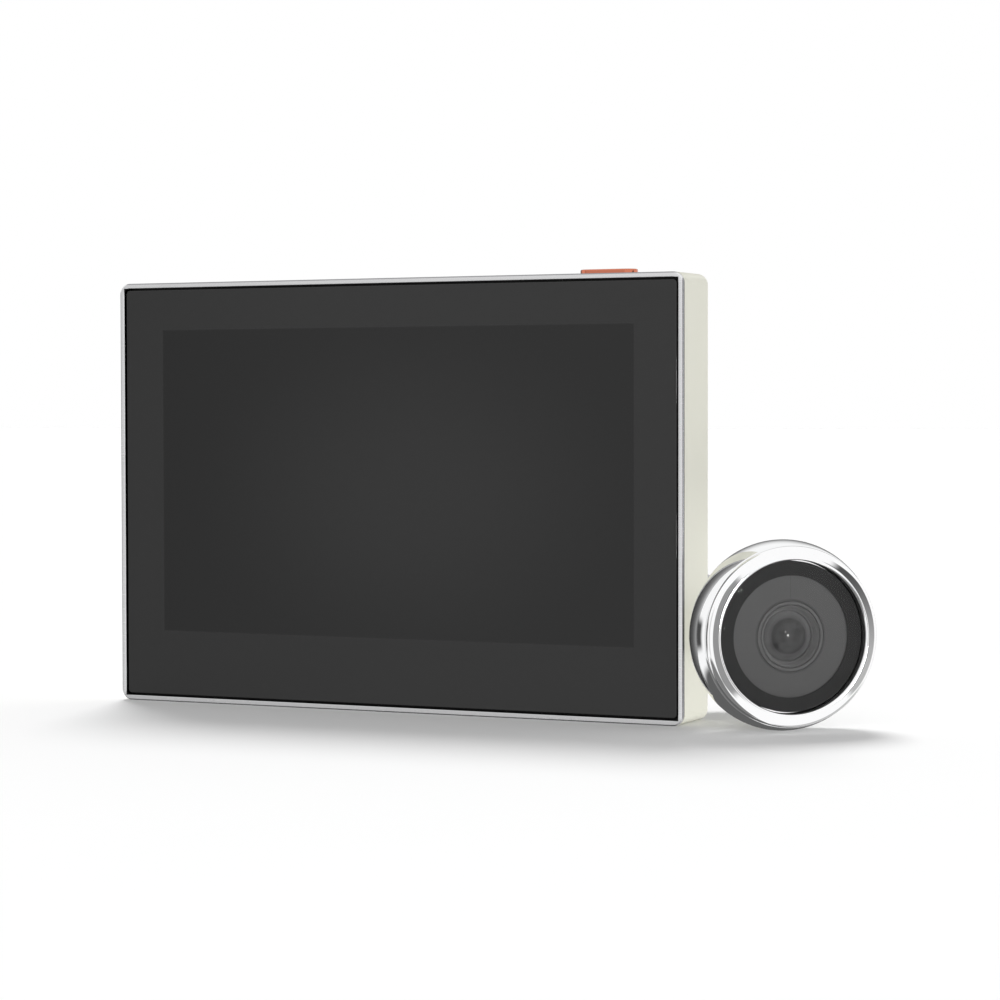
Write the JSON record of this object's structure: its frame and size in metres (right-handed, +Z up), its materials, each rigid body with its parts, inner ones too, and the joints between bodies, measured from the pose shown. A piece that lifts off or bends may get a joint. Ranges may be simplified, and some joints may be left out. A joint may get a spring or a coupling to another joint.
{
  "type": "peephole door camera",
  "caption": "Flat indoor door monitor with a black glass front and edge button, with its round chrome outdoor camera on a threaded barrel.",
  "frame": {"origin": "middle of the monitor's bottom face, which it stands on", "axes": "+Z up, -Y the way the monitor's glass faces, +X to the right seen from the front"},
  "size_m": [0.1455, 0.0465, 0.0789],
  "materials": {
    "black_glass": "polished black cover glass",
    "silver_trim": "satin anodised silver",
    "ivory_shell": "satin pearl ivory",
    "dark_rubber": "matte black",
    "display": "dark polariser",
    "clear_plastic": "clear acrylic",
    "sheet_steel": "tinned sheet",
    "dark_plastic": "moulded dark grey",
    "circuit_board": "green solder mask",
    "chip_plastic": "moulded black resin",
    "battery_foil": "crimped foil pouch",
    "connector_plastic": "natural nylon",
    "copper_button": "polished copper anodise",
    "screw_steel": "zinc plated",
    "plate_alloy": "brushed aluminium sheet",
    "chrome_shell": "polished chrome",
    "chrome_ring": "polished chrome",
    "clear_glass": "flat clear window",
    "black_print": "black ring print",
    "smoked_plastic": "smoked infrared pass plastic",
    "grey_plastic": "moulded mid grey",
    "lens_glass": "coated lens",
    "filter_glass": "coated filter",
    "led_resin": "clear resin",
    "chrome_barrel": "polished chrome",
    "nut_alloy": "turned bright aluminium"
  },
  "bodies": {
    "monitor": {"cover_glass": "black_glass", "bezel_frame": "silver_trim", "rear_housing": "ivory_shell", "glass_tape": "dark_rubber", "lcd_panel": "display", "light_guide": "clear_plastic", "backlight_tray": "sheet_steel", "mid_frame": "dark_plastic", "main_board": "circuit_board", "shield_can": "sheet_steel", "board_parts": "chip_plastic", "battery_pack": "battery_foil", "speaker": "dark_plastic", "microphone": "sheet_steel", "usb_socket": "sheet_steel", "camera_socket": "connector_plastic", "power_switch": "sheet_steel", "switch_board": "circuit_board", "housing_screws": "screw_steel", "board_screws": "screw_steel", "back_pads": "dark_rubber"},
    "button": {"power_button": "copper_button", "switch_plunger": "dark_plastic"},
    "door_plate": {"door_plate": "plate_alloy"},
    "camera": {"head_shell": "chrome_shell", "front_ring": "chrome_ring", "window_glass": "clear_glass", "window_mask": "black_print", "window_seal": "dark_rubber", "smoked_disc": "smoked_plastic", "lens_hood": "grey_plastic", "lens_barrel": "grey_plastic", "front_lens": "lens_glass", "rear_lens": "lens_glass", "infrared_filter": "filter_glass", "image_sensor": "chip_plastic", "sensor_board": "circuit_board", "led_board": "circuit_board", "infrared_leds": "led_resin", "led_board_screws": "screw_steel", "barrel_tube": "chrome_barrel", "door_gasket": "dark_rubber", "barrel_plug": "dark_plastic", "cable_socket": "connector_plastic"},
    "washer": {"clamp_washer": "screw_steel"},
    "nut": {"fixing_nut": "nut_alloy"}
  },
  "joints": [
    {"name": "button_press", "type": "slide", "parent": "monitor", "child": "button", "axis": [0, 0, -1], "range_m": [0, 0.0005], "stiffness_N_per_m": 3000, "springref_m": -0.0001},
    {"name": "plate_slide", "type": "slide", "parent": "monitor", "child": "door_plate", "axis": [0, 0, -1], "range_m": [0, 0.005]},
    {"name": "camera_lift", "type": "slide", "parent": "monitor", "child": "camera", "axis": [0, 0, 1], "range_m": [0, 0.1]},
    {"name": "nut_travel", "type": "slide", "parent": "camera", "child": "washer", "axis": [0.6639, -0.7478, 0], "range_m": [0, 0.006]},
    {"name": "nut_turn", "type": "hinge", "parent": "washer", "child": "nut", "pos_m": [0.05153, 0.0211, 0.0162], "axis": [0.6639, -0.7478, 0], "range_deg": [0, 2160]}
  ],
  "couplings": [
    {"joint": "nut_travel", "follows": "nut_turn", "m_per_rad": 0.00015915}
  ]
}
